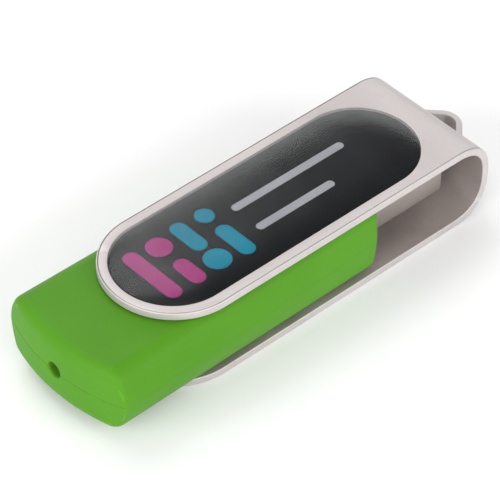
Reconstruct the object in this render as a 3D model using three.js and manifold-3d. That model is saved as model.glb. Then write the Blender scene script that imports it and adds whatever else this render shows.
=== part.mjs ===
// USB flash drive with a folded sheet-metal swivel clip.
//
// Units are millimetres and +Z is up. While the parts are being shaped, x = y = 0
// is the swivel axis, z = 0 is the underside of the clip's lower plate, and +X
// points towards the clip's fold, where the plug is parked. The finished assembly
// is then shifted along X so that the origin is the middle of its base.
//
// Two rigid groups: the clip (clip, label, resin dome) and the drive (case
// shells, pivot studs, plug, circuit board and everything soldered to it). The
// drive turns inside the clip about the swivel axis.

import * as THREE from 'three';
import { mergeVertices } from 'three/addons/utils/BufferGeometryUtils.js';
import Module from 'manifold-3d';

const wasm = await Module();
wasm.setup();

// ------------------------------------------------------------------ dimensions

// folded clip
const CLIP_W = 18.0;                  // width of the strip
const CLIP_H = 11.9;                  // height over both plates
const SHEET = 1.05;                   // sheet thickness
const FOLD_X = 37.65;                 // axis of the fold
const MID_Z = CLIP_H / 2;             // mid-height, and the case's parting plane
const FOLD_R_OUT = CLIP_H / 2;
const FOLD_R_IN = FOLD_R_OUT - SHEET;
const TOP_IN_Z = CLIP_H - SHEET;      // inner face of the upper plate

// recess for the label and the resin dome
const DOME_END_X = 29.4;              // centre of the far round end; the near one is on the pivot
const RECESS_R = 7.70;
const RECESS_DEPTH = 0.45;
const RECESS_FLOOR_Z = CLIP_H - RECESS_DEPTH;
const LABEL_R = 7.50;
const LABEL_T = 0.10;
const DOME_R = 7.58;
const DOME_RIM_Z = CLIP_H + 0.05;
const DOME_CROWN_Z = CLIP_H + 0.80;
const LAYER_GAP = 0.02;               // adhesive line

// lanyard bridge lanced out of the fold
const BRIDGE_Z0 = 4.35;
const BRIDGE_Z1 = 7.55;
const BRIDGE_AXIS_X = 44.385;         // centre of the bridge's crown, in plan
const BRIDGE_R_OUT = 2.535;
const BRIDGE_T = 0.80;
const BRIDGE_KERF = 0.05;             // lancing gap above and below the strip
const BRIDGE_SLOT_Y = 4.30;           // half-length of the slot in the fold

// pivot
const PIVOT_HOLE_R = 3.10;
const PIVOT_HEAD_R = 3.00;
const PIVOT_SHANK_R = 1.50;
const PIVOT_SOCKET_R = 1.56;
const PIVOT_BOSS_R = 2.80;
const PIVOT_BOSS_H = 0.80;
const PIVOT_SHANK_DEPTH = 1.70;

// plastic case: its walls swell, so it is widest at mid-height, and there it
// also grows a little wider from the front to the rear
const CASE_HALF_W = 8.65;             // where the walls meet the rounded top and bottom edges
const CASE_MID_HALF_W = 10.30;        // at mid-height, at the rear
const CASE_MID_FRONT_HALF_W = 9.15;   // at mid-height, at the front
const CASE_SWELL = 1.8;               // power of the wall's curve over height
const CASE_Z0 = 1.30;
const CASE_Z1 = CLIP_H - 1.30;
const CASE_REAR_X = -18.30;           // crown of the bowed rear end at mid-height
const CASE_REAR_LEAN = 0.23;          // how far the rear end leans forward at its top and bottom
const CASE_REAR_R = 32.0;
const CASE_MID_REAR_R = 26.0;
const CASE_FRONT_X = 25.30;
const CASE_REAR_CORNER = 1.70;
const CASE_MID_REAR_CORNER = 0.50;
const CASE_FRONT_CORNER = 1.35;
const CASE_EDGE_R = 1.20;
const CASE_WALL = 1.30;
const CASE_FLOOR = 1.20;
const PARTING_GAP = 0.04;
const LED_HOLE_R = 1.00;

// type-A plug
const PLUG_W = 12.0;
const PLUG_H = 4.5;
const PLUG_WALL = 0.30;
const PLUG_TIP_X = 38.40;
const PLUG_LEN = 18.75;
const PLUG_CORNER = 0.70;
const PLUG_REAR_X = PLUG_TIP_X - PLUG_LEN;
const PLUG_Z0 = MID_Z - PLUG_H / 2;
const PLUG_Z1 = MID_Z + PLUG_H / 2;
const TONGUE_TOP_Z = 5.85;
const TONGUE_TIP_X = PLUG_TIP_X - 0.35;
const TONGUE_REAR_X = PLUG_REAR_X + 0.35;
const TONGUE_BLOCK_X = TONGUE_REAR_X + 6.9; // the block that fills the shell ends here
const CONTACT_W = 1.0;
const CONTACT_T = 0.2;
const CONTACT_Z0 = 5.67;
const CONTACT_REAR_X = 17.6;

// circuit board
const PCB_Z0 = 4.82;
const PCB_Z1 = 5.62;
const PCB_REAR_X = -13.6;
const PCB_FRONT_X = 19.4;
const PCB_HALF_W = 6.6;
const PCB_NOTCH_X = 17.2;
const PCB_NOTCH_HALF_W = 5.5;
const SOLDER = 0.05;

// locating pins between the two shells, through the board
const PINS = [[-11.0, 4.9], [-11.0, -4.9], [15.6, 5.2], [15.6, -5.2]];
const PIN_R = 0.60;
const PIN_HOLE_R = 0.70;
const POST_R = 1.25;

// ------------------------------------------------------------------- tools

function toSolid(geometry) {
  let g = geometry.clone();
  for (const name of Object.keys(g.attributes)) if (name !== 'position') g.deleteAttribute(name);
  g = mergeVertices(g, 1e-5);
  return new wasm.Manifold(new wasm.Mesh({
    numProp: 3,
    vertProperties: new Float32Array(g.attributes.position.array),
    triVerts: new Uint32Array(g.index.array),
  }));
}

function toGeometry(solid) {
  const m = solid.getMesh();
  const g = new THREE.BufferGeometry();
  g.setAttribute('position', new THREE.BufferAttribute(new Float32Array(m.vertProperties), 3));
  g.setIndex(new THREE.BufferAttribute(new Uint32Array(m.triVerts), 1));
  g.computeVertexNormals();
  return g;
}

const Y_TO_Z = new THREE.Matrix4().makeBasis(
  new THREE.Vector3(1, 0, 0), new THREE.Vector3(0, 0, 1), new THREE.Vector3(0, -1, 0));
const TO_X = new THREE.Matrix4().makeBasis(
  new THREE.Vector3(0, 1, 0), new THREE.Vector3(0, 0, 1), new THREE.Vector3(1, 0, 0));

// box between two corners
function box(x0, x1, y0, y1, z0, z1) {
  const g = new THREE.BoxGeometry(x1 - x0, y1 - y0, z1 - z0);
  g.translate((x0 + x1) / 2, (y0 + y1) / 2, (z0 + z1) / 2);
  return toSolid(g);
}

// cylinder standing on z0
function disc(x, y, r, z0, z1, sides = 32) {
  const g = new THREE.CylinderGeometry(r, r, z1 - z0, sides);
  g.rotateX(Math.PI / 2);
  g.translate(x, y, (z0 + z1) / 2);
  return toSolid(g);
}

// plan outline extruded from z0 to z1, with an optional rounded edge
function slab(shape, z0, z1, edge = 0, edgeSteps = 4, curveSegments = 16) {
  const g = new THREE.ExtrudeGeometry(shape, edge > 0 ? {
    depth: z1 - z0 - 2 * edge, bevelEnabled: true, bevelThickness: edge, bevelSize: edge,
    bevelOffset: -edge, bevelSegments: edgeSteps, curveSegments,
  } : { depth: z1 - z0, bevelEnabled: false, curveSegments });
  g.translate(0, 0, z0 + edge);
  return toSolid(g);
}

// outline in the XZ plane extruded across the part, from -y to +y
function across(shape, y, curveSegments = 24) {
  const g = new THREE.ExtrudeGeometry(shape, { depth: 2 * y, bevelEnabled: false, curveSegments });
  g.translate(0, 0, -y);
  g.applyMatrix4(Y_TO_Z);
  return toSolid(g);
}

// outline in the YZ plane extruded lengthwise, from x0 to x1
function along(shape, x0, x1, curveSegments = 4) {
  const g = new THREE.ExtrudeGeometry(shape, { depth: x1 - x0, bevelEnabled: false, curveSegments });
  g.translate(0, 0, x0);
  g.applyMatrix4(TO_X);
  return toSolid(g);
}

function stadium(x0, x1, r) {
  const s = new THREE.Shape();
  s.absarc(x0, 0, r, Math.PI / 2, 3 * Math.PI / 2, false);
  s.absarc(x1, 0, r, -Math.PI / 2, Math.PI / 2, false);
  s.closePath();
  return s;
}

function roundedRect(u0, u1, v0, v1, r) {
  const s = new THREE.Shape();
  s.absarc(u1 - r, v0 + r, r, -Math.PI / 2, 0, false);
  s.absarc(u1 - r, v1 - r, r, 0, Math.PI / 2, false);
  s.absarc(u0 + r, v1 - r, r, Math.PI / 2, Math.PI, false);
  s.absarc(u0 + r, v0 + r, r, Math.PI, 3 * Math.PI / 2, false);
  s.closePath();
  return s;
}

// ------------------------------------------------------------------ the clip

function foldedClip() {
  const u = new THREE.Shape();
  u.moveTo(-10, 0);
  u.lineTo(FOLD_X, 0);
  u.absarc(FOLD_X, MID_Z, FOLD_R_OUT, -Math.PI / 2, Math.PI / 2, false);
  u.lineTo(-10, CLIP_H);
  u.lineTo(-10, TOP_IN_Z);
  u.lineTo(FOLD_X, TOP_IN_Z);
  u.absarc(FOLD_X, MID_Z, FOLD_R_IN, Math.PI / 2, -Math.PI / 2, true);
  u.lineTo(-10, SHEET);
  u.closePath();

  // plan: a full round end about the pivot, straight sides up to the fold
  const plan = new THREE.Shape();
  plan.absarc(0, 0, CLIP_W / 2, Math.PI / 2, 3 * Math.PI / 2, false);
  plan.lineTo(50, -CLIP_W / 2);
  plan.lineTo(50, CLIP_W / 2);
  plan.closePath();

  let clip = across(u, CLIP_W / 2 + 1, 20).intersect(slab(plan, -1, CLIP_H + 1, 0, 0, 36));

  // recess for the label, pivot holes in both plates
  clip = clip.subtract(slab(stadium(0, DOME_END_X, RECESS_R), RECESS_FLOOR_Z, CLIP_H + 1, 0, 0, 20));
  clip = clip.subtract(disc(0, 0, PIVOT_HOLE_R, TOP_IN_Z - 1, CLIP_H + 1));
  clip = clip.subtract(disc(0, 0, PIVOT_HOLE_R, -1, SHEET + 1));

  // bridge: flanks at 45 degrees, round crown, one sheet-metal strip
  const q = Math.SQRT1_2;
  const foot = FOLD_X + FOLD_R_OUT - 0.6;
  const out = new THREE.Shape();
  out.moveTo(foot, -(BRIDGE_AXIS_X + BRIDGE_R_OUT * 2 * q - foot));
  out.lineTo(BRIDGE_AXIS_X + BRIDGE_R_OUT * q, -BRIDGE_R_OUT * q);
  out.absarc(BRIDGE_AXIS_X, 0, BRIDGE_R_OUT, -Math.PI / 4, Math.PI / 4, false);
  out.lineTo(foot, BRIDGE_AXIS_X + BRIDGE_R_OUT * 2 * q - foot);
  out.closePath();
  const ri = BRIDGE_R_OUT - BRIDGE_T;
  const knee = BRIDGE_AXIS_X + ri * 2 * q - BRIDGE_SLOT_Y;
  const inn = new THREE.Shape();
  inn.moveTo(FOLD_X + 3, -BRIDGE_SLOT_Y);
  inn.lineTo(knee, -BRIDGE_SLOT_Y);
  inn.lineTo(BRIDGE_AXIS_X + ri * q, -ri * q);
  inn.absarc(BRIDGE_AXIS_X, 0, ri, -Math.PI / 4, Math.PI / 4, false);
  inn.lineTo(knee, BRIDGE_SLOT_Y);
  inn.lineTo(FOLD_X + 3, BRIDGE_SLOT_Y);
  inn.closePath();
  clip = clip.add(slab(out, BRIDGE_Z0, BRIDGE_Z1, 0, 0, 8));
  clip = clip.subtract(slab(inn, BRIDGE_Z0 - BRIDGE_KERF, BRIDGE_Z1 + BRIDGE_KERF, 0, 0, 8));
  return clip;
}

function labelFilm() {
  return slab(stadium(0, DOME_END_X, LABEL_R), RECESS_FLOOR_Z + LAYER_GAP,
    RECESS_FLOOR_Z + LAYER_GAP + LABEL_T, 0, 0, 16);
}

// poured resin: steep at the rim, nearly flat on top
function resinDome() {
  const z0 = RECESS_FLOOR_Z + 2 * LAYER_GAP + LABEL_T;
  const rise = DOME_CROWN_Z - DOME_RIM_Z;
  const g = new THREE.ExtrudeGeometry(stadium(0, DOME_END_X, DOME_R), {
    depth: 1.2, bevelEnabled: true, bevelThickness: rise, bevelSize: DOME_R - 0.6,
    bevelOffset: -(DOME_R - 0.6), bevelSegments: 5, curveSegments: 16,
  });
  g.translate(0, 0, DOME_RIM_Z - 1.2);
  return toSolid(g).intersect(box(-20, 60, -20, 20, z0, 20));
}

// ------------------------------------------------------------------ the case

// bowed rear end, straight sides, flat front, rounded corners, as a closed loop
// of points with outward normals; every size gives the same number of points
function caseLoop(halfW, rearX, bowR, rearCorner, corner = 5, bow = 14) {
  const rf = CASE_FRONT_CORNER, rr = rearCorner;
  const cx = rearX + bowR;
  const fy = halfW - rr;
  const fillX = cx - Math.sqrt((bowR - rr) ** 2 - fy ** 2);
  const a = Math.atan2(fy, fillX - cx);
  const pts = [];
  const sweep = (x, y, r, from, to, n) => {
    for (let i = 0; i <= n; i++) {
      const t = from + (to - from) * i / n;
      pts.push([x + r * Math.cos(t), y + r * Math.sin(t), Math.cos(t), Math.sin(t)]);
    }
  };
  sweep(CASE_FRONT_X - rf, halfW - rf, rf, 0, Math.PI / 2, corner);
  for (let i = 1; i < 4; i++) pts.push([CASE_FRONT_X - rf + (fillX - CASE_FRONT_X + rf) * i / 4, halfW, 0, 1]);
  sweep(fillX, fy, rr, Math.PI / 2, a, corner);
  sweep(cx, 0, bowR, a, 2 * Math.PI - a, bow);
  pts.splice(pts.length - bow - 1, 1);
  pts.pop();
  sweep(fillX, -fy, rr, 2 * Math.PI - a, 3 * Math.PI / 2, corner);
  for (let i = 3; i > 0; i--) pts.push([CASE_FRONT_X - rf + (fillX - CASE_FRONT_X + rf) * i / 4, -halfW, 0, -1]);
  sweep(CASE_FRONT_X - rf, -halfW + rf, rf, -Math.PI / 2, 0, corner);
  return pts;
}

// the case's outer skin: a stack of loops from the bottom face to the top face
function caseSkin() {
  const mid = caseLoop(CASE_MID_HALF_W, CASE_REAR_X, CASE_MID_REAR_R, CASE_MID_REAR_CORNER);
  const edge = caseLoop(CASE_HALF_W, CASE_REAR_X + CASE_REAR_LEAN, CASE_REAR_R, CASE_REAR_CORNER);
  const taper = CASE_MID_FRONT_HALF_W / CASE_MID_HALF_W;
  for (const p of mid) {
    const t = Math.min(1, Math.max(0, (p[0] + 16.0) / (CASE_FRONT_X + 16.0)));
    p[1] *= 1 + (taper - 1) * t;
  }
  const half = CASE_Z1 - MID_Z;
  const levels = [];
  for (const k of [0, 0.25, 0.5, 0.75]) levels.push([(half - CASE_EDGE_R) * k, 0]);
  for (let k = 0; k <= 4; k++) {
    const a = Math.PI / 2 * k / 4;
    levels.push([half - CASE_EDGE_R + CASE_EDGE_R * Math.sin(a), CASE_EDGE_R * (1 - Math.cos(a))]);
  }
  const stack = levels.slice(1).reverse().map(([h, d]) => [-h, d]).concat(levels);
  const n = mid.length, position = [], index = [];
  for (const [h, d] of stack) {
    const f = (Math.abs(h) / half) ** CASE_SWELL;
    for (let i = 0; i < n; i++) {
      const [mx, my] = mid[i], [ex, ey, nx, ny] = edge[i];
      position.push(mx + (ex - mx) * f - nx * d, my + (ey - my) * f - ny * d, MID_Z + h);
    }
  }
  for (let k = 0; k + 1 < stack.length; k++) {
    for (let i = 0; i < n; i++) {
      const a = k * n + i, b = k * n + (i + 1) % n;
      index.push(a, b, b + n, a, b + n, a + n);
    }
  }
  const top = (stack.length - 1) * n;
  for (let i = 1; i + 1 < n; i++) {
    index.push(0, i + 1, i);
    index.push(top, top + i, top + i + 1);
  }
  const g = new THREE.BufferGeometry();
  g.setAttribute('position', new THREE.BufferAttribute(new Float32Array(position), 3));
  g.setIndex(index);
  return toSolid(g);
}

// outline of the hollow, kept inside the narrowest part of the walls
function casePlan(inset) {
  const w = CASE_HALF_W - inset;
  const R = CASE_REAR_R - inset;
  const cx = CASE_REAR_X + CASE_REAR_LEAN + CASE_REAR_R;
  const rr = Math.max(CASE_REAR_CORNER - inset, 0.4);
  const rf = Math.max(CASE_FRONT_CORNER - inset, 0.4);
  const fx = CASE_FRONT_X - inset;
  const fy = w - rr;
  const fillX = cx - Math.sqrt((R - rr) ** 2 - fy ** 2);
  const a = Math.atan2(fy, fillX - cx);
  const s = new THREE.Shape();
  s.absarc(fx - rf, w - rf, rf, 0, Math.PI / 2, false);
  s.absarc(fillX, fy, rr, Math.PI / 2, a, false);
  s.absarc(cx, 0, R, a, 2 * Math.PI - a, false);
  s.absarc(fillX, -fy, rr, 2 * Math.PI - a, 3 * Math.PI / 2, false);
  s.absarc(fx - rf, -w + rf, rf, -Math.PI / 2, 0, false);
  s.closePath();
  return s;
}

function plugEnvelope(clearance, x0, x1) {
  return along(roundedRect(-PLUG_W / 2 - clearance, PLUG_W / 2 + clearance,
    PLUG_Z0 - clearance, PLUG_Z1 + clearance, PLUG_CORNER), x0, x1);
}

function caseShells() {
  const outer = caseSkin();
  const inner = slab(casePlan(CASE_WALL), CASE_Z0 + CASE_FLOOR, CASE_Z1 - CASE_FLOOR, 0, 0, 3);
  const shell = outer.subtract(inner);

  const big = 60;
  let lower = shell.intersect(box(-big, big, -big, big, -1, MID_Z - PARTING_GAP / 2));
  let upper = shell.intersect(box(-big, big, -big, big, MID_Z + PARTING_GAP / 2, 30));
  const floorZ = CASE_Z0 + CASE_FLOOR;
  const ceilZ = CASE_Z1 - CASE_FLOOR;

  // bosses that take the pivot studs
  lower = lower.add(disc(0, 0, PIVOT_BOSS_R, floorZ - 0.4, floorZ + PIVOT_BOSS_H, 24));
  upper = upper.add(disc(0, 0, PIVOT_BOSS_R, ceilZ - PIVOT_BOSS_H, ceilZ + 0.4, 24));
  lower = lower.subtract(disc(0, 0, PIVOT_SOCKET_R, CASE_Z0 - 1, CASE_Z0 + PIVOT_SHANK_DEPTH + 0.1, 20));
  upper = upper.subtract(disc(0, 0, PIVOT_SOCKET_R, CASE_Z1 - PIVOT_SHANK_DEPTH - 0.1, CASE_Z1 + 1, 20));

  // pillars under the board carry pins through it into posts of the upper shell
  for (const [x, y] of PINS) {
    lower = lower.add(disc(x, y, POST_R, floorZ - 0.4, PCB_Z0 - 0.04, 12));
    lower = lower.add(disc(x, y, PIN_R, PCB_Z0 - 0.5, 7.2, 8));
    const post = disc(x, y, POST_R, PCB_Z1 + 0.04, ceilZ + 0.4, 12)
      .subtract(disc(x, y, PIN_R + 0.06, PCB_Z1 - 1, 7.4, 8));
    upper = upper.add(post);
  }

  // cross ribs that cradle the plug's rear half
  const ribX0 = 21.6, ribX1 = 22.6;
  lower = lower.add(box(ribX0, ribX1, -CASE_HALF_W + 0.8, CASE_HALF_W - 0.8, floorZ - 0.4, MID_Z - PARTING_GAP / 2));
  upper = upper.add(box(ribX0, ribX1, -CASE_HALF_W + 0.8, CASE_HALF_W - 0.8, MID_Z + PARTING_GAP / 2, ceilZ + 0.4));

  // mouth for the plug through the front wall and the ribs
  const mouth = plugEnvelope(0.10, PLUG_REAR_X + 1, CASE_FRONT_X + 2);
  lower = lower.subtract(mouth);
  upper = upper.subtract(mouth);

  // hole for the activity light through the rear wall, on the parting line
  const g = new THREE.CylinderGeometry(LED_HOLE_R, LED_HOLE_R, 4, 16);
  g.rotateZ(Math.PI / 2);
  g.translate(CASE_REAR_X + 0.8, 0, MID_Z);
  const hole = toSolid(g);
  lower = lower.subtract(hole);
  upper = upper.subtract(hole);
  return { lower, upper };
}

function pivotStud(lowerSide) {
  const headOut = lowerSide ? 0.15 : RECESS_FLOOR_Z - 0.05;
  const caseFace = lowerSide ? CASE_Z0 : CASE_Z1;
  const dir = lowerSide ? 1 : -1;
  const headIn = caseFace - dir * 0.02;
  const end = caseFace + dir * PIVOT_SHANK_DEPTH;
  // lathe profile: radius against distance from the outer face of the head
  const head = Math.abs(headIn - headOut);
  const total = Math.abs(end - headOut);
  const c = 0.18;
  const pts = [
    [0, 0], [PIVOT_HEAD_R - c, 0], [PIVOT_HEAD_R, c], [PIVOT_HEAD_R, head],
    [PIVOT_SHANK_R, head], [PIVOT_SHANK_R, total - c], [PIVOT_SHANK_R - c, total], [0, total],
  ].map(([r, h]) => new THREE.Vector2(r, h));
  const g = new THREE.LatheGeometry(pts, 32);
  g.rotateX(Math.PI / 2);
  if (!lowerSide) g.rotateX(Math.PI);
  g.translate(0, 0, headOut);
  return toSolid(g);
}

// ------------------------------------------------------------------ the plug

function plugShell() {
  let s = along(roundedRect(-PLUG_W / 2, PLUG_W / 2, PLUG_Z0, PLUG_Z1, PLUG_CORNER), PLUG_REAR_X, PLUG_TIP_X);
  s = s.subtract(along(roundedRect(-PLUG_W / 2 + PLUG_WALL, PLUG_W / 2 - PLUG_WALL,
    PLUG_Z0 + PLUG_WALL, PLUG_Z1 - PLUG_WALL, PLUG_CORNER - PLUG_WALL), PLUG_REAR_X - 1, PLUG_TIP_X + 1));
  // latch windows, two in each broad face
  for (const y of [-2.9, 2.9]) {
    s = s.subtract(box(PLUG_TIP_X - 7.2, PLUG_TIP_X - 5.2, y - 1.15, y + 1.15, PLUG_Z0 - 1, PLUG_Z0 + 0.6));
    s = s.subtract(box(PLUG_TIP_X - 7.2, PLUG_TIP_X - 5.2, y - 1.15, y + 1.15, PLUG_Z1 - 0.6, PLUG_Z1 + 1));
  }
  // the folded sheet closes on a seam along the underside
  s = s.subtract(box(PLUG_REAR_X - 1, PLUG_TIP_X + 1, -0.04, 0.04, PLUG_Z0 - 1, PLUG_Z0 + 0.6));
  // solder tabs either side of the board
  for (const side of [-1, 1]) {
    const y0 = side > 0 ? PLUG_W / 2 - PLUG_WALL : -PLUG_W / 2;
    s = s.add(box(PCB_NOTCH_X + 0.25, PLUG_REAR_X + 0.5, y0, y0 + PLUG_WALL, PCB_Z0 - 0.3, PCB_Z1 + 0.3));
  }
  return s;
}

const CONTACTS = [
  ['contact_vbus', 3.5, 37.55], ['contact_data_minus', 1.0, 36.55],
  ['contact_data_plus', -1.0, 36.55], ['contact_ground', -3.5, 37.55],
];

function plugTongue() {
  const c = PLUG_WALL + 0.03;
  let t = along(roundedRect(-PLUG_W / 2 + c, PLUG_W / 2 - c, PLUG_Z0 + c, PLUG_Z1 - c, 0.45),
    TONGUE_REAR_X, TONGUE_TIP_X);
  t = t.subtract(box(TONGUE_BLOCK_X, TONGUE_TIP_X + 1, -10, 10, TONGUE_TOP_Z, 20));
  for (const [, y, tip] of CONTACTS) {
    t = t.subtract(box(TONGUE_REAR_X - 1, tip + 0.05, y - CONTACT_W / 2 - 0.05, y + CONTACT_W / 2 + 0.05,
      CONTACT_Z0 - 0.02, CONTACT_Z0 + CONTACT_T + 0.03));
  }
  return t;
}

// ------------------------------------------------------------------ the board

function circuitBoard() {
  const s = new THREE.Shape();
  s.moveTo(PCB_REAR_X, -PCB_HALF_W);
  s.lineTo(PCB_NOTCH_X, -PCB_HALF_W);
  s.lineTo(PCB_NOTCH_X, -PCB_NOTCH_HALF_W);
  s.lineTo(PCB_FRONT_X, -PCB_NOTCH_HALF_W);
  s.lineTo(PCB_FRONT_X, PCB_NOTCH_HALF_W);
  s.lineTo(PCB_NOTCH_X, PCB_NOTCH_HALF_W);
  s.lineTo(PCB_NOTCH_X, PCB_HALF_W);
  s.lineTo(PCB_REAR_X, PCB_HALF_W);
  s.closePath();
  let b = slab(s, PCB_Z0, PCB_Z1);
  for (const [x, y] of PINS) b = b.subtract(disc(x, y, PIN_HOLE_R, PCB_Z0 - 1, PCB_Z1 + 1, 12));
  return b;
}

// one lead of a package: a short post from the package's side down to the board;
// up = +1 on the board's top, -1 underneath
function lead(x, y, side, width, reach, boardZ, up) {
  const z = boardZ + up * 0.5;
  return box(Math.min(x - side * 0.1, x + side * reach), Math.max(x - side * 0.1, x + side * reach),
    y - width / 2, y + width / 2, Math.min(boardZ, z), Math.max(boardZ, z));
}

function chipBody(x0, x1, y0, y1, boardZ, up, standoff, thick) {
  const r = 0.12;
  const a = boardZ + up * standoff, b = boardZ + up * (standoff + thick);
  return slab(roundedRect(x0, x1, y0, y1, 0.15), Math.min(a, b), Math.max(a, b), r, 1, 2);
}

// thin small-outline package, leads along its two short ends
function flashChip() {
  const x0 = -5.2, x1 = 13.2, hw = 6.0, z = PCB_Z1 + SOLDER;
  let c = chipBody(x0, x1, -hw, hw, z, 1, 0.1, 1.0);
  for (let i = 0; i < 24; i++) {
    const y = -5.75 + i * 0.5;
    c = c.add(lead(x0, y, -1, 0.2, 0.6, z, 1)).add(lead(x1, y, 1, 0.2, 0.6, z, 1));
  }
  return c;
}

// quad flat no-lead package under the board, its pads flush with its sides
function controllerChip() {
  const cx = 7.2, h = 3.5, z = PCB_Z0 - SOLDER;
  return chipBody(cx - h, cx + h, -h, h, z, -1, 0.0, 0.85);
}

// small two-ended parts: a rounded block lying along X or Y
function block(x, y, lx, ly, h, top = true) {
  const z0 = top ? PCB_Z1 + SOLDER : PCB_Z0 - SOLDER - h;
  return slab(roundedRect(x - lx / 2, x + lx / 2, y - ly / 2, y + ly / 2, 0.08), z0, z0 + h, 0.06, 1, 2);
}

// crystal in a seam-sealed metal can: base and raised lid in one outline
function crystalCan() {
  const x = -4.6, y = -2.8, z = PCB_Z0 - SOLDER;
  return slab(roundedRect(x - 1.6, x + 1.6, y - 1.25, y + 1.25, 0.2), z - 0.4, z, 0, 0, 2)
    .add(slab(roundedRect(x - 1.45, x + 1.45, y - 1.1, y + 1.1, 0.3), z - 0.75, z - 0.3, 0.1, 1, 2));
}

// light-emitting diode: a base with a moulded lens, facing the hole
function activityLed() {
  const x = -12.55, z = PCB_Z1 + SOLDER;
  return slab(roundedRect(x - 0.65, x + 0.65, -1.0, 1.0, 0.08), z, z + 0.3, 0, 0, 2)
    .add(slab(roundedRect(x - 0.55, x + 0.55, -0.65, 0.65, 0.2), z + 0.2, z + 0.85, 0.12, 1, 2));
}

// ------------------------------------------------------------------ assembly

const material = (color, roughness, metalness, extra = {}) =>
  new THREE.MeshStandardMaterial({ color, roughness, metalness, ...extra });

function node(name, solid, mat) {
  const mesh = new THREE.Mesh(toGeometry(solid), mat);
  mesh.name = name;
  return mesh;
}

const clipGroup = new THREE.Group();
clipGroup.add(node('swivel_clip', foldedClip(), material(0xe2dddb, 0.42, 0.9)));
clipGroup.add(node('label_film', labelFilm(), material(0x15181a, 0.35, 0.0)));
clipGroup.add(node('resin_dome', resinDome(), material(0xdfe6e8, 0.05, 0.0, { transparent: true, opacity: 0.3 })));

const shells = caseShells();
const driveGroup = new THREE.Group();
driveGroup.add(node('case_upper', shells.upper, material(0x66b138, 0.55, 0.0)));
driveGroup.add(node('case_lower', shells.lower, material(0x66b138, 0.55, 0.0)));
driveGroup.add(node('pivot_stud_upper', pivotStud(false), material(0x62aa36, 0.5, 0.0)));
driveGroup.add(node('pivot_stud_lower', pivotStud(true), material(0x62aa36, 0.5, 0.0)));
driveGroup.add(node('plug_shell', plugShell(), material(0xa9a29c, 0.35, 0.95)));
driveGroup.add(node('plug_tongue', plugTongue(), material(0x1c1c1e, 0.5, 0.0)));
for (const [name, y, tip] of CONTACTS) {
  driveGroup.add(node(name, box(CONTACT_REAR_X, tip, y - CONTACT_W / 2, y + CONTACT_W / 2,
    CONTACT_Z0, CONTACT_Z0 + CONTACT_T), material(0xd9b45a, 0.25, 1.0)));
}
driveGroup.add(node('circuit_board', circuitBoard(), material(0x1e5a34, 0.45, 0.0)));
driveGroup.add(node('flash_memory_chip', flashChip(), material(0x242426, 0.6, 0.0)));
driveGroup.add(node('controller_chip', controllerChip(), material(0x242426, 0.6, 0.0)));
driveGroup.add(node('crystal', crystalCan(), material(0xc9c9c6, 0.3, 0.9)));
driveGroup.add(node('activity_led', activityLed(), material(0xe9efe6, 0.25, 0.0)));
driveGroup.add(node('capacitor_1', block(-8.2, 2.4, 0.8, 1.6, 0.8), material(0xb08a5a, 0.5, 0.0)));
driveGroup.add(node('capacitor_2', block(-8.2, -2.4, 0.8, 1.6, 0.8), material(0xb08a5a, 0.5, 0.0)));
driveGroup.add(node('capacitor_3', block(-3.4, 3.2, 1.6, 0.8, 0.8, false), material(0xb08a5a, 0.5, 0.0)));
driveGroup.add(node('capacitor_4', block(13.7, 0, 0.8, 1.6, 0.8, false), material(0xb08a5a, 0.5, 0.0)));
driveGroup.add(node('resistor_1', block(-10.4, 0, 0.8, 1.6, 0.45), material(0x1b1b1d, 0.5, 0.0)));
driveGroup.add(node('resistor_2', block(-7.0, 0, 0.8, 1.6, 0.45), material(0x1b1b1d, 0.5, 0.0)));
driveGroup.add(node('resistor_3', block(15.8, 1.1, 1.6, 0.8, 0.45), material(0x1b1b1d, 0.5, 0.0)));
driveGroup.add(node('resistor_4', block(15.8, -1.1, 1.6, 0.8, 0.45), material(0x1b1b1d, 0.5, 0.0)));

// origin: middle of the base of the whole assembly
const BRIDGE_CROWN_X = BRIDGE_AXIS_X + BRIDGE_R_OUT;
const assembly = new THREE.Group();
assembly.add(clipGroup, driveGroup);
assembly.position.x = -(CASE_REAR_X + BRIDGE_CROWN_X) / 2;

export default assembly;
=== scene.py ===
import math
import bmesh
import bpy
from mathutils import Matrix, Vector


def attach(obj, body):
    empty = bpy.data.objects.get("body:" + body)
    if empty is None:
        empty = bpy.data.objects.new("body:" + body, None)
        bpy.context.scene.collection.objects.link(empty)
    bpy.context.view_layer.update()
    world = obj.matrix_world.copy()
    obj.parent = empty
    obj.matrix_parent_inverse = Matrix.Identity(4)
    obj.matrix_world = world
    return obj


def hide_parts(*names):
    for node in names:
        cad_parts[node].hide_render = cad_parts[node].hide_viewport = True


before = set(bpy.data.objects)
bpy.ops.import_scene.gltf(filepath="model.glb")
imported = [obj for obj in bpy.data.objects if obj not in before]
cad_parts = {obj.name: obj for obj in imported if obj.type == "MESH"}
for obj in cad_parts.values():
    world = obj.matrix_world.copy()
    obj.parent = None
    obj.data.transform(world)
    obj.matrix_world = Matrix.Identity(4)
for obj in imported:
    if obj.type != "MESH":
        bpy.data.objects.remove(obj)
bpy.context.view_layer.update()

MM = 0.001
AXIS_X = -14.31  # row x of the swivel axis, in mm; the shapes below are laid out from that axis


# ----------------------------------------------------------------- mesh tools

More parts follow.
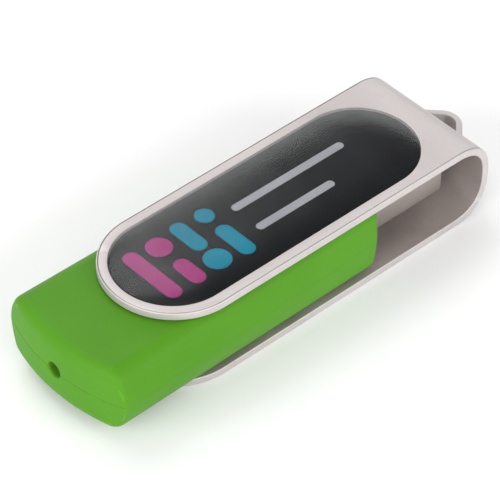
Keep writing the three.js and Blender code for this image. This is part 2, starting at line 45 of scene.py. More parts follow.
class Shape:
    """A mesh being built in millimetres from the swivel axis."""

    def __init__(self):
        self.bm = bmesh.new()

    def ring(self, pts):
        return [self.bm.verts.new(p) for p in pts]

    def face(self, vs, mat=0):
        f = self.bm.faces.new(vs)
        f.material_index = mat
        return f

    def band(self, a, b, closed=True, mat=0):
        n = len(a)
        for i in range(n if closed else n - 1):
            j = (i + 1) % n
            vs = [a[i], a[j], b[j], b[i]]
            if len(set(vs)) == 4:
                self.face(vs, mat)

    def stack(self, rings, closed=True, mat=0):
        for a, b in zip(rings, rings[1:]):
            self.band(a, b, closed, mat)

    def fill(self, loops, mat=0):
        """Fills a flat outline that may have holes."""
        edges = []
        for loop in loops:
            for i, v in enumerate(loop):
                w = loop[(i + 1) % len(loop)]
                e = self.bm.edges.get((v, w)) or self.bm.edges.new((v, w))
                edges.append(e)
        if len(loops) == 1:
            self.face(loops[0], mat)
            return
        made = bmesh.ops.triangle_fill(self.bm, edges=edges, use_beauty=True, use_dissolve=False)
        for g in made["geom"]:
            if isinstance(g, bmesh.types.BMFace):
                g.material_index = mat

    def done(self, name, materials, sharp=None):
        bm = self.bm
        bmesh.ops.remove_doubles(bm, verts=bm.verts, dist=1e-5)
        bmesh.ops.recalc_face_normals(bm, faces=bm.faces)
        volume = bm.calc_volume(signed=True)
        if volume < 0:
            bmesh.ops.reverse_faces(bm, faces=bm.faces)
        for v in bm.verts:
            v.co = Vector(((v.co.x + AXIS_X) * MM, v.co.y * MM, v.co.z * MM))
        me = bpy.data.meshes.new(name)
        bm.to_mesh(me)
        bm.free()
        ob = bpy.data.objects.new(name, me)
        bpy.context.scene.collection.objects.link(ob)
        for m in materials:
            me.materials.append(m)
        me.shade_smooth()
        if sharp is not None:
            me.set_sharp_from_angle(angle=math.radians(sharp))
        return ob


def apply_modifiers(ob):
    dg = bpy.context.evaluated_depsgraph_get()
    me = bpy.data.meshes.new_from_object(ob.evaluated_get(dg), depsgraph=dg)
    old = ob.data
    ob.modifiers.clear()
    ob.data = me
    me.name = ob.name
    bpy.data.meshes.remove(old)


def boolean(ob, tool, operation):
    m = ob.modifiers.new("cut", "BOOLEAN")
    m.operation = operation
    m.solver = "EXACT"
    m.object = tool
    bpy.context.view_layer.update()
    apply_modifiers(ob)
    bpy.data.objects.remove(tool)


def tidy(ob, sharp=35, bevel=None, segments=2, angle=40):
    """Merges cut leftovers, marks sharp edges and keeps flat faces flat in the shading."""
    bm = bmesh.new()
    bm.from_mesh(ob.data)
    bmesh.ops.remove_doubles(bm, verts=bm.verts, dist=1e-8)
    bmesh.ops.dissolve_degenerate(bm, dist=1e-8, edges=bm.edges)
    bm.to_mesh(ob.data)
    bm.free()
    if bevel:
        b = ob.modifiers.new("edge", "BEVEL")
        b.width = bevel * MM
        b.segments = segments
        b.limit_method = "ANGLE"
        b.angle_limit = math.radians(angle)
        b.miter_outer = "MITER_ARC"
        bpy.context.view_layer.update()
        apply_modifiers(ob)
    ob.data.shade_smooth()
    ob.data.set_sharp_from_angle(angle=math.radians(sharp))
    w = ob.modifiers.new("normals", "WEIGHTED_NORMAL")
    w.mode = "FACE_AREA"
    w.weight = 50
    w.keep_sharp = True
    return ob


def arc(cx, cy, r, a0, a1, n, ends=True):
    """Points on a circle, degrees, with their outward normals."""
    out = []
    for i in range(n + 1):
        if not ends and i in (0, n):
            continue
        a = math.radians(a0 + (a1 - a0) * i / n)
        out.append((cx + r * math.cos(a), cy + r * math.sin(a), math.cos(a), math.sin(a)))
    return out


def stadium(x0, x1, r, n=48, flats=1):
    """A stadium outline with outward normals, counter-clockwise from the near straight side."""
    pts = []
    for i in range(flats):
        pts.append((x0 + (x1 - x0) * i / flats, -r, 0.0, -1.0))
    pts += arc(x1, 0, r, -90, 90, n)
    for i in range(1, flats):
        pts.append((x1 + (x0 - x1) * i / flats, r, 0.0, 1.0))
    pts += arc(x0, 0, r, 90, 270, n)[:-1]
    return pts


def circle(cx, cy, r, n=48):
    return arc(cx, cy, r, 0, 360, n)[:-1]


def rounded_box(x0, x1, y0, y1, r, n=6):
    pts = arc(x1 - r, y0 + r, r, -90, 0, n)
    pts += arc(x1 - r, y1 - r, r, 0, 90, n)
    pts += arc(x0 + r, y1 - r, r, 90, 180, n)
    pts += arc(x0 + r, y0 + r, r, 180, 270, n)
    return pts


def inset(pts, d):
    return [(x - nx * d, y - ny * d) for x, y, nx, ny in pts]


def fillet(r, z, up=True, n=5, start=0.0):
    """(inset, z) pairs from the wall to the flat, round an edge of radius r whose flat is at z."""
    out = []
    for i in range(n + 1):
        a = math.pi / 2 * i / n
        out.append((start + r * (1 - math.cos(a)), z - r + r * math.sin(a) if up else z + r - r * math.sin(a)))
    return out


def prism(name, outline, z0, z1, mats, r0=0.0, r1=0.0, n=3, plane="xy"):
    """A closed prism from an outline with normals, with rounded lower and upper edges. plane xy, xz or yz."""
    s = Shape()
    prof = []
    prof += list(reversed(fillet(r0, z0, up=False, n=n))) if r0 else [(0, z0)]
    prof += fillet(r1, z1, up=True, n=n) if r1 else [(0, z1)]
    rings = []
    for d, z in prof:
        pts = inset(outline, d)
        if plane == "xy":
            rings.append(s.ring([(x, y, z) for x, y in pts]))
        elif plane == "xz":
            rings.append(s.ring([(x, z, y) for x, y in pts]))
        else:
            rings.append(s.ring([(z, x, y) for x, y in pts]))
    s.stack(rings)
    s.face(list(reversed(rings[0])))
    s.face(rings[-1])
    return s.done(name, mats)


def lathe(name, cx, cy, profile, mats, n=64):
    """A closed turned solid about a vertical axis. profile runs from the axis to the axis."""
    s = Shape()
    rings = []
    for r, z in profile:
        if r < 1e-9:
            rings.append([s.bm.verts.new((cx, cy, z))])
        else:
            rings.append(s.ring([(x, y, z) for x, y, _, _ in circle(cx, cy, r, n)]))
    for a, b in zip(rings, rings[1:]):
        if len(a) == 1:
            for i in range(n):
                s.face([a[0], b[i], b[(i + 1) % n]])
        elif len(b) == 1:
            for i in range(n):
                s.face([a[i], a[(i + 1) % n], b[0]])
        else:
            s.band(a, b)
    return s.done(name, mats)


# ------------------------------------------------------------------ materials

def material(name, **sockets):
    m = bpy.data.materials.new(name)
    m.use_nodes = True
    nt = m.node_tree
    b = nt.nodes["Principled BSDF"]
    for k, v in sockets.items():
        b.inputs[k.replace("_", " ")].default_value = v
    return m, nt, b


def noise(nt, scale, detail=2.0, rough=0.5, coords=None):
    n = nt.nodes.new("ShaderNodeTexNoise")
    n.inputs["Scale"].default_value = scale
    n.inputs["Detail"].default_value = detail
    n.inputs["Roughness"].default_value = rough
    nt.links.new(coords, n.inputs["Vector"])
    return n.outputs["Fac"]


def place(nt, scale=(1, 1, 1), turn=0.0):
    c = nt.nodes.new("ShaderNodeTexCoord")
    mp = nt.nodes.new("ShaderNodeMapping")
    mp.inputs["Scale"].default_value = scale
    mp.inputs["Rotation"].default_value = (0, 0, turn)
    nt.links.new(c.outputs["Object"], mp.inputs["Vector"])
    return mp.outputs["Vector"]


def ramp(nt, fac, stops):
    r = nt.nodes.new("ShaderNodeValToRGB")
    el = r.color_ramp.elements
    while len(el) > 1:
        el.remove(el[-1])
    for i, (p, c) in enumerate(stops):
        e = el[0] if i == 0 else el.new(p)
        e.position = p
        e.color = (c[0], c[1], c[2], 1)
    nt.links.new(fac, r.inputs["Fac"])
    return r.outputs["Color"]


def span(nt, fac, lo, hi, f0=0.3, f1=0.7):
    r = nt.nodes.new("ShaderNodeMapRange")
    r.inputs["From Min"].default_value = f0
    r.inputs["From Max"].default_value = f1
    r.inputs["To Min"].default_value = lo
    r.inputs["To Max"].default_value = hi
    nt.links.new(fac, r.inputs["Value"])
    return r.outputs["Result"]


def mixed(nt, a, b, fac, mode="MIX"):
    m = nt.nodes.new("ShaderNodeMix")
    m.data_type = "RGBA"
    m.blend_type = mode
    for value, socket in ((fac, m.inputs["Factor"]), (a, m.inputs["A"]), (b, m.inputs["B"])):
        if isinstance(value, bpy.types.NodeSocket):
            nt.links.new(value, socket)
        else:
            socket.default_value = value if not isinstance(value, tuple) else (*value, 1)[:4]
    return m.outputs["Result"]


def bump(nt, bsdf, height, strength, distance):
    b = nt.nodes.new("ShaderNodeBump")
    b.inputs["Strength"].default_value = strength
    b.inputs["Distance"].default_value = distance
    nt.links.new(height, b.inputs["Height"])
    nt.links.new(b.outputs["Normal"], bsdf.inputs["Normal"])
    return b


def finish_material(name, colours, roughness, grain, depth, blotch=90.0, grain_strength=0.3, scale=(1, 1, 1), wear=None, **sockets):
    """Colour that drifts with a coarse noise and speckles with a fine one, roughness that follows both, and a fine bump.
    colours are dark, middle and light. grain is the fine noise's scale per metre."""
    m, nt, b = material(name, **sockets)
    at = place(nt, scale)
    coarse = noise(nt, blotch, 3.0, 0.55, at)
    fine = noise(nt, grain, 3.0, 0.6, at)
    base = ramp(nt, coarse, [(0.3, colours[0]), (0.5, colours[1]), (0.7, colours[2])])
    speck = ramp(nt, fine, [(0.28, (0.88, 0.88, 0.88)), (0.5, (1, 1, 1)), (0.75, (1.06, 1.06, 1.06))])
    colour = mixed(nt, base, speck, grain_strength * 2, "MULTIPLY")
    if wear:
        g = nt.nodes.new("ShaderNodeNewGeometry")
        edge = span(nt, g.outputs["Pointiness"], 0.0, 1.0, 0.515, 0.58)
        worn = nt.nodes.new("ShaderNodeMath")
        worn.operation = "MULTIPLY"
        nt.links.new(edge, worn.inputs[0])
        nt.links.new(span(nt, noise(nt, blotch * 6, 3.0, 0.6, at), 0.2, 1.0), worn.inputs[1])
        colour = mixed(nt, colour, wear, worn.outputs[0])
    nt.links.new(colour, b.inputs["Base Color"])
    r = nt.nodes.new("ShaderNodeMath")
    r.operation = "ADD"
    r.use_clamp = True
    nt.links.new(span(nt, coarse, roughness - 0.04, roughness + 0.04), r.inputs[0])
    nt.links.new(span(nt, fine, -0.03, 0.03), r.inputs[1])
    nt.links.new(r.outputs[0], b.inputs["Roughness"])
    bump(nt, b, fine, grain_strength, depth)
    return m


METAL = finish_material("clip_satin_metal", ((0.475, 0.436, 0.430), (0.51, 0.469, 0.463), (0.545, 0.503, 0.497)),
                        0.46, 5200.0, 0.00002, blotch=70.0, grain_strength=0.28, wear=(0.62, 0.59, 0.58), Metallic=0.35, Specular_IOR_Level=0.45)
# a darker copy of the clip metal for the clip's inner faces: painted shade for the inside of the fold and between the
# plates
SHADED_INSIDE = finish_material("clip_inside_painted_shade", ((0.40, 0.345, 0.327), (0.46, 0.40, 0.38), (0.52, 0.455, 0.433)),
                         0.50, 4200.0, 0.00002, blotch=110.0, grain_strength=0.34, Metallic=0.55, Specular_IOR_Level=0.4)
GREEN = finish_material("case_soft_green", ((0.067, 0.232, 0.008), (0.073, 0.248, 0.010), (0.080, 0.264, 0.013)),
                        0.52, 4200.0, 0.000015, blotch=60.0, grain_strength=0.18, wear=(0.10, 0.32, 0.03), Specular_IOR_Level=0.14, Sheen_Weight=0.02, Sheen_Roughness=0.5)
# a darker copy of the clip metal for the band in the edge crease: painted shade, the dark line that shade draws along
# the edge
CREASE_PAINTED_SHADE = finish_material("clip_edge_crease_painted_shade", ((0.20, 0.17, 0.175), (0.24, 0.205, 0.21), (0.28, 0.24, 0.245)),
                         0.55, 5200.0, 0.00002, blotch=90.0, grain_strength=0.3, Metallic=0.3, Specular_IOR_Level=0.3)
STUD = finish_material("stud_smooth_green", ((0.056, 0.205, 0.010), (0.063, 0.222, 0.012), (0.070, 0.24, 0.015)),
                       0.36, 3000.0, 0.000008, blotch=300.0, grain_strength=0.12, Specular_IOR_Level=0.45)
STEEL = finish_material("plug_satin_nickel", ((0.33, 0.292, 0.274), (0.38, 0.338, 0.318), (0.43, 0.385, 0.362)),
                        0.38, 3600.0, 0.000012, blotch=180.0, grain_strength=0.3, scale=(0.5, 1.6, 1.6), wear=(0.46, 0.44, 0.42), Metallic=1.0)
TONGUE = finish_material("tongue_moulded_black", ((0.012, 0.012, 0.013), (0.018, 0.018, 0.02), (0.026, 0.026, 0.029)),
                         0.42, 4000.0, 0.00001, blotch=400.0, grain_strength=0.2, Specular_IOR_Level=0.5)
GOLD = finish_material("contact_gold_plate", ((0.70, 0.47, 0.14), (0.80, 0.57, 0.20), (0.88, 0.66, 0.28)),
                       0.24, 3000.0, 0.000006, blotch=600.0, grain_strength=0.18, scale=(0.3, 2, 2), Metallic=1.0)
CHIP = finish_material("chip_moulded_epoxy", ((0.014, 0.014, 0.015), (0.020, 0.020, 0.022), (0.028, 0.028, 0.030)),
                       0.60, 6000.0, 0.00002, blotch=500.0, grain_strength=0.35)
CAN = finish_material("crystal_can_steel", ((0.50, 0.50, 0.48), (0.58, 0.58, 0.56), (0.66, 0.66, 0.64)),
                      0.30, 5000.0, 0.000008, blotch=500.0, grain_strength=0.25, scale=(0.4, 2, 2), Metallic=1.0)
LED = finish_material("led_clear_lens", ((0.72, 0.76, 0.66), (0.80, 0.84, 0.74), (0.86, 0.89, 0.82)),
                      0.16, 3000.0, 0.000004, blotch=900.0, grain_strength=0.1, Coat_Weight=0.6, Coat_Roughness=0.05)
CERAMIC = finish_material("capacitor_fired_ceramic", ((0.22, 0.12, 0.055), (0.27, 0.155, 0.07), (0.33, 0.20, 0.10)),
                          0.50, 7000.0, 0.00001, blotch=900.0, grain_strength=0.3)
GLAZE = finish_material("resistor_glazed_film", ((0.010, 0.010, 0.012), (0.016, 0.016, 0.019), (0.024, 0.024, 0.028)),
                        0.28, 6000.0, 0.000006, blotch=900.0, grain_strength=0.2)


def print_ink(name, colours, rough=0.30):
    return finish_material(name, colours, rough, 9000.0, 0.000003, blotch=120.0, grain_strength=0.16, Specular_IOR_Level=0.0)


INK_BLACK = print_ink("label_black", ((0.0035, 0.0042, 0.005), (0.0045, 0.0052, 0.006), (0.0065, 0.0072, 0.008)))
INK_MAGENTA = print_ink("label_magenta", ((0.28, 0.020, 0.140), (0.315, 0.027, 0.160), (0.35, 0.036, 0.18)))
INK_CYAN = print_ink("label_cyan", ((0.0, 0.175, 0.265), (0.0, 0.20, 0.296), (0.004, 0.225, 0.325)))
INK_GREY = print_ink("label_grey", ((0.32, 0.322, 0.34), (0.35, 0.352, 0.372), (0.385, 0.388, 0.41)))


def solder_mask():
    """Green laminate with a lattice of copper traces showing through it."""
    m, nt, b = material("board_solder_mask", Roughness=0.35, Coat_Weight=0.35, Coat_Roughness=0.2)
    at = place(nt)
    w = nt.nodes.new("ShaderNodeTexWave")
    w.wave_type = "BANDS"
    w.bands_direction = "DIAGONAL"
    w.inputs["Scale"].default_value = 420.0
    w.inputs["Distortion"].default_value = 3.0
    w.inputs["Detail"].default_value = 1.0
    nt.links.new(at, w.inputs["Vector"])
    trace = span(nt, w.outputs["Fac"], 0, 1, 0.62, 0.70)
    base = ramp(nt, noise(nt, 400.0, 3.0, 0.6, at), [(0.3, (0.008, 0.075, 0.025)), (0.7, (0.014, 0.11, 0.04))])
    nt.links.new(mixed(nt, base, (0.03, 0.19, 0.06), trace), b.inputs["Base Color"])
    nt.links.new(span(nt, noise(nt, 1500.0, 2.0, 0.5, at), 0.30, 0.42), b.inputs["Roughness"])
    bump(nt, b, trace, 0.4, 0.00003)
    return m


def clear_resin():
    """Clear poured resin: what lies under it shows straight through, and its surface mirrors the room by Fresnel's law."""
    m, nt, b = material("dome_clear_resin", Roughness=0.12, Metallic=1.0)
    at = place(nt)
    tint = ramp(nt, noise(nt, 200.0, 2.0, 0.5, at), [(0.3, (0.93, 0.94, 0.95)), (0.7, (1.0, 1.0, 1.0))])
    nt.links.new(tint, b.inputs["Base Color"])
    nt.links.new(span(nt, noise(nt, 260.0, 3.0, 0.5, at), 0.20, 0.27), b.inputs["Roughness"])
    bump(nt, b, noise(nt, 110.0, 2.0, 0.5, at), 0.05, 0.0002)
    out = nt.nodes["Material Output"]
    # Schlick's curve, the same from both sides of the surface
    facing = nt.nodes.new("ShaderNodeLayerWeight")
    facing.inputs["Blend"].default_value = 0.5
    power = nt.nodes.new("ShaderNodeMath")
    power.operation = "POWER"
    nt.links.new(facing.outputs["Facing"], power.inputs[0])
    power.inputs[1].default_value = 5.0
    share = nt.nodes.new("ShaderNodeMath")
    share.operation = "MULTIPLY_ADD"
    nt.links.new(power.outputs[0], share.inputs[0])
    share.inputs[1].default_value = 0.96
    share.inputs[2].default_value = 0.038
    clear = nt.nodes.new("ShaderNodeBsdfTransparent")
    clear.inputs["Color"].default_value = (0.96, 0.97, 0.975, 1)
    mix = nt.nodes.new("ShaderNodeMixShader")
    nt.links.new(share.outputs[0], mix.inputs[0])
    nt.links.new(clear.outputs[0], mix.inputs[1])
    nt.links.new(b.outputs[0], mix.inputs[2])
    nt.links.new(mix.outputs[0], out.inputs["Surface"])
    return m


def wetted_resin():
    """The underside of the resin, wetted onto the film, so that it mirrors next to nothing."""
    m, nt, b = material("dome_resin_underside", Roughness=0.3)
    at = place(nt)
    nt.links.new(ramp(nt, noise(nt, 200.0, 2.0, 0.5, at), [(0.3, (0.02, 0.02, 0.02)), (0.7, (0.05, 0.05, 0.05))]), b.inputs["Base Color"])
    clear = nt.nodes.new("ShaderNodeBsdfTransparent")
    mix = nt.nodes.new("ShaderNodeMixShader")
    mix.inputs[0].default_value = 0.02
    nt.links.new(clear.outputs[0], mix.inputs[1])
    nt.links.new(b.outputs[0], mix.inputs[2])
    nt.links.new(mix.outputs[0], nt.nodes["Material Output"].inputs["Surface"])
    return m


BOARD = solder_mask()
RESIN = clear_resin()
WETTED = wetted_resin()


# ----------------------------------------------------------------- swivel clip

CLIP_W = 9.0
CLIP_H = 11.9
SHEET = 1.05
FOLD_X = 37.65
FOLD_R = 5.95
FOLD_RI = 4.90


def make_clip():
    s = Shape()
    steps = 64
    arc_len = math.pi * (FOLD_R + FOLD_RI) / 2
    end_u = FOLD_X * 2 + arc_len
    fold = [FOLD_X + arc_len * i / steps for i in range(steps + 1)]
    near = [(0.0, -CLIP_W, 0.0, -1.0)]
    near += [(FOLD_X * k / 6, -CLIP_W, 0.0, -1.0) for k in range(1, 6)]
    near += [(u, -CLIP_W, 0.0, -1.0) for u in fold]
    near += [(end_u - FOLD_X * k / 6, -CLIP_W, 0.0, -1.0) for k in range(5, 0, -1)]
    far = [(u, CLIP_W, 0.0, 1.0) for u, _, _, _ in reversed(near)]
    outline = near + arc(end_u, 0, CLIP_W, -90, 90, 72)[:-1] + far + arc(0, 0, CLIP_W, 90, 270, 72)[:-1]
    # arcs repeat the first point of each straight side; drop the copies
    clean = []
    for p in outline:
        if not clean or abs(p[0] - clean[-1][0]) + abs(p[1] - clean[-1][1]) > 1e-6:
            clean.append(p)
    if abs(clean[0][0] - clean[-1][0]) + abs(clean[0][1] - clean[-1][1]) < 1e-6:
        clean.pop()
    outline = clean

    def at(u, v, depth):
        if u <= FOLD_X:
            return (u, v, CLIP_H - depth)
        if u >= FOLD_X + arc_len:
            return (FOLD_X - (u - FOLD_X - arc_len), v, depth)
        # the bend is a little fuller at its shoulders than a circle
        t = (u - FOLD_X) / arc_len * math.pi
        sn, cs = max(0.0, math.sin(t)), math.cos(t)
        r = FOLD_R / (sn ** 2.45 + abs(cs) ** 2.45) ** (1 / 2.45)
        nx, nz = sn ** 1.45, math.copysign(abs(cs) ** 1.45, cs)
        k = math.hypot(nx, nz)
        return (FOLD_X + r * sn - nx / k * depth, v, CLIP_H / 2 + r * cs - nz / k * depth)

    ro, ri = 0.22, 0.12
    # a shallow crease runs round the plate just inside its rounded outer edge; its floor band takes a dark copy of the
    # metal, painted shade in the crease
    prof = [(0.34, 0.0), (0.30, 0.010), (0.25, 0.075), (0.215, 0.10), (0.18, 0.085), (0.14, 0.045)]
    prof += [(0.10, 0.045), (0.06, 0.065), (0.03, 0.10), (0.008, 0.16), (0.0, ro)]
    prof += [(ri * (1 - math.cos(a)), SHEET - ri + ri * math.sin(a)) for a in [math.pi / 2 * k / 4 for k in range(5)]]
    rings = [s.ring([at(u, v, depth) for u, v in inset(outline, d)]) for d, depth in prof]
    s.stack(rings[:3])
    # the crease band, painted shade
    s.stack(rings[2:6], mat=2)
    s.stack(rings[5:])
    index = {}
    for i, (u, v, _, _) in enumerate(outline):
        index[(round(u, 5), -1 if v < 0 else 1)] = i if (round(u, 5), -1 if v < 0 else 1) not in index else index[(round(u, 5), -1 if v < 0 else 1)]
    near_i = [next(i for i, p in enumerate(outline) if abs(p[0] - u) < 1e-6 and abs(p[1] + CLIP_W) < 1e-6) for u in fold]
    far_i = [next(i for i, p in enumerate(outline) if abs(p[0] - u) < 1e-6 and abs(p[1] - CLIP_W) < 1e-6) for u in fold]
    n = len(outline)

    def walk(i, j):
        out = [i]
        while i != j:
            i = (i + 1) % n
            out.append(i)
        return out

    def bore(cx, top, low, z_of):
        """A pivot hole with broken edges between two depths of the sheet."""
        c = 0.12
        hole = circle(cx, 0, 3.10, 72)
        rs = []
        for d, depth in [(-c, top), (-c * 0.3, top + c * 0.3), (0, top + c), (0, low - c), (-c * 0.3, low - c * 0.3), (-c, low)]:
            rs.append(s.ring([(x, y, z_of(depth)) for x, y in inset(hole, d)]))
        s.stack(rs)
        return rs[0], rs[-1]

    up = lambda depth: CLIP_H - depth
    down = lambda depth: depth
    # upper plate: recess with a broken rim, its floor, and the pivot hole through the floor
    well = stadium(-0.16, 29.8, 7.54, 72, 6)
    rim = 0.11
    wall = [(-rim * (1 - math.sin(a)), rim * (1 - math.cos(a))) for a in [math.pi / 2 * k / 5 for k in range(6)]]
    wall += [(0, 0.40), (0.02, 0.44), (0.05, 0.45)]
    wells = [s.ring([(x, y, CLIP_H - depth) for x, y in inset(well, d)]) for d, depth in wall]
    s.stack(wells)
    top_hole, top_hole_low = bore(0, 0.45, SHEET, up)
    low_hole, low_hole_in = bore(0, 0.0, SHEET, down)
    # the inner faces of the plates and the fold take the darker copy of the metal, painted shade
    for ring, outer, plate in ((rings[0], True, 0), (rings[-1], False, 0)):
        for a in range(steps):
            s.face([ring[near_i[a]], ring[near_i[a + 1]], ring[far_i[a + 1]], ring[far_i[a]]], 0 if outer else 1)
        left = [ring[i] for i in walk(far_i[0], near_i[0])]
        right = [ring[i] for i in walk(near_i[-1], far_i[-1])]
        if outer:
            s.fill([left, wells[0]])
            s.fill([right, low_hole])
        else:
            s.fill([left, top_hole_low], mat=1)
            s.fill([right, low_hole_in], mat=1)
    s.fill([wells[-1], top_hole])
    ob = s.done("clip_folded_sheet", [METAL, SHADED_INSIDE, CREASE_PAINTED_SHADE])

    # the lanyard bridge: a slot across the fold, and the strip from it pushed out
    slot = prism("tool", rounded_box(40.0, 46.0, -4.30, 4.30, 0.05, 2), 4.30, 7.60, [METAL])
    boolean(ob, slot, "DIFFERENCE")
    cx, ro2, ri2 = 44.385, 2.535, 1.735
    line = [(43.28, 4.66), (43.28, 4.69)]
    outer = [(43.28, -4.69)] + [(x, y) for x, y, _, _ in arc(cx, 0, ro2, -45, 45, 20)] + [(43.28, 4.69)]
    inner = [(42.66, 4.60), (42.66, 4.18)] + [(x, y) for x, y, _, _ in arc(cx, 0, ri2, 45, -45, 20)] + [(42.66, -4.18), (42.66, -4.60)]
    loop = outer + inner
    with_normals = []
    for i, p in enumerate(loop):
        a, b = loop[i - 1], loop[(i + 1) % len(loop)]
        e1 = Vector((p[0] - a[0], p[1] - a[1])).normalized()
        e2 = Vector((b[0] - p[0], b[1] - p[1])).normalized()
        n1, n2 = Vector((e1.y, -e1.x)), Vector((e2.y, -e2.x))
        m = (n1 + n2)
        m = m / max(0.4, m.dot(n1)) if m.length > 1e-6 else n1
        with_normals.append((p[0], p[1], m.x, m.y))
    strip = prism("tool", with_normals, 4.35, 7.55, [METAL], r0=0.14, r1=0.14, n=3)
    boolean(ob, strip, "UNION")
    tidy(ob, sharp=38)
    return ob


clip = make_clip()
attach(clip, "clip")
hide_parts("swivel_clip")


# ------------------------------------------------------- label film and dome

def make_label():
    """A black film with a plain printed pattern. Each printed area is its own part of the film's top face."""
    s = Shape()
    edge = stadium(-0.16, 29.8, 7.48, 64, 4)
    rings = [s.ring([(x, y, z) for x, y in inset(edge, d)]) for d, z in ((0.02, 11.47), (0, 11.49), (0, 11.55), (0.02, 11.57))]
    s.stack(rings)
    s.face(list(reversed(rings[0])))
    holes = []

    def area(points, mat):
        loop = s.ring([(x, y, 11.57) for x, y in points])
        holes.append((loop, mat))

    def dot(cx, cy, r, mat):
        area([(x, y) for x, y, _, _ in circle(cx, cy, r, 40)], mat)

    def bar(cx, cy, length, width, mat, turn=0.0):
        c, sn = math.cos(math.radians(turn)), math.sin(math.radians(turn))
        pts = [(x, y) for x, y, _, _ in rounded_box(-length / 2, length / 2, -width / 2, width / 2, width * 0.499, 8)]
        area([(cx + x * c - y * sn, cy + x * sn + y * c) for x, y in pts], mat)

    # four upright capsules and three discs, then two plain rules
    bar(-3.3, 0.0, 9.4, 2.2, 1, 90)
    bar(0.4, -2.35, 4.7, 2.2, 1, 90)
    dot(0.4, 3.0, 1.65, 1)
    dot(4.2, -2.95, 1.75, 2)
    bar(4.2, 2.1, 5.6, 2.2, 2, 90)
    bar(8.0, -1.9, 6.0, 2.2, 2, 90)
    dot(8.0, 3.55, 1.25, 2)
    bar(20.2, 2.15, 18.0, 1.15, 3)
    bar(17.4, -2.15, 12.4, 1.15, 3)
    s.fill([rings[-1]] + [h for h, _ in holes], mat=0)
    for loop, mat in holes:
        s.face(loop, mat)
    ob = s.done("label_printed_film", [INK_BLACK, INK_MAGENTA, INK_CYAN, INK_GREY], sharp=40)
    for p in ob.data.polygons:
        if p.normal.z < -0.5:
            p.material_index = 0
    return ob


label = make_label()
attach(label, "clip")
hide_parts("label_film")


def make_dome():
    """The poured dome: a stadium whose height rises from a short wall like a drop that wets its edge."""
    s = Shape()
    R = 7.50
    edge = stadium(-0.16, 29.8, R, 96, 30)
    rings = [s.ring([(x, y, z) for x, y in inset(edge, d)]) for d, z in ((0.05, 11.59), (0.0, 11.64), (0.0, 11.88))]
    steps = 40
    for k in range(steps):
        t = (k + 1) / (steps + 1)
        d = R * 0.985 * t ** 1.7
        q = d / R
        z = 11.88 + 0.82 * (1 - (1 - q) ** 2.5) ** 0.80
        rings.append(s.ring([(x, y, z) for x, y in inset(edge, d)]))
    s.stack(rings)
    s.face(list(reversed(rings[0])), 1)
    s.face(rings[-1])
    return s.done("dome_poured_resin", [RESIN, WETTED], sharp=60)


dome = make_dome()
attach(dome, "clip")
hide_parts("resin_dome")


# ------------------------------------------------------------------- the case

CASE_LO, CASE_MID, CASE_HI = 1.30, 5.95, 10.60
CASE_REAR, CASE_FRONT = -18.30, 25.30


def case_outline(hw, back, bow, rr, rf, n_corner=16, n_bow=60):
    """Bowed rear end, straight sides, flat front, rounded corners; the same number of points for every size."""
    bx = back + bow
    cy = hw - rr
    cx = bx - math.sqrt((bow - rr) ** 2 - cy * cy)
    a_c = math.degrees(math.atan2(cy, cx - bx))  # from the bow's centre to the corner's
    pts = []
    for k in range(8):
        pts.append((cx + (CASE_FRONT - rf - cx) * k / 8, -hw, 0.0, -1.0))
    pts += arc(CASE_FRONT - rf, -hw + rf, rf, -90, 0, n_corner)
    pts += arc(CASE_FRONT - rf, hw - rf, rf, 0, 90, n_corner)
    for k in range(1, 9):
        pts.append((CASE_FRONT - rf + (cx - CASE_FRONT + rf) * k / 8, hw, 0.0, 1.0))
    pts += arc(cx, cy, rr, 90, a_c, n_corner)[1:]
    pts += arc(bx, 0, bow, a_c, 360 - a_c, n_bow)[1:-1]
    pts += arc(cx, -cy, rr, 360 - a_c, 270, n_corner)[:-1]
    return pts


# the walls swell: the case is widest at the parting line and narrower where it meets the fillets
# at mid-height it also grows a little wider from the front to the rear
OUT_MID = [(x, y * (1 + (8.98 / 10.30 - 1) * min(1, max(0, (x + 16.0) / (CASE_FRONT + 16.0)))), nx, ny)
           for x, y, nx, ny in case_outline(10.28, CASE_REAR, 26.0, 0.50, 1.35)]
OUT_EDGE = case_outline(8.50, CASE_REAR + 0.23, 32.0, 1.70, 1.35)
SWELL = 1.8


def rear(nx):
    """0 on the sides and front, 1 on the rear face."""
    t = min(1.0, max(0.0, -nx))
    return t * t * (3 - 2 * t)


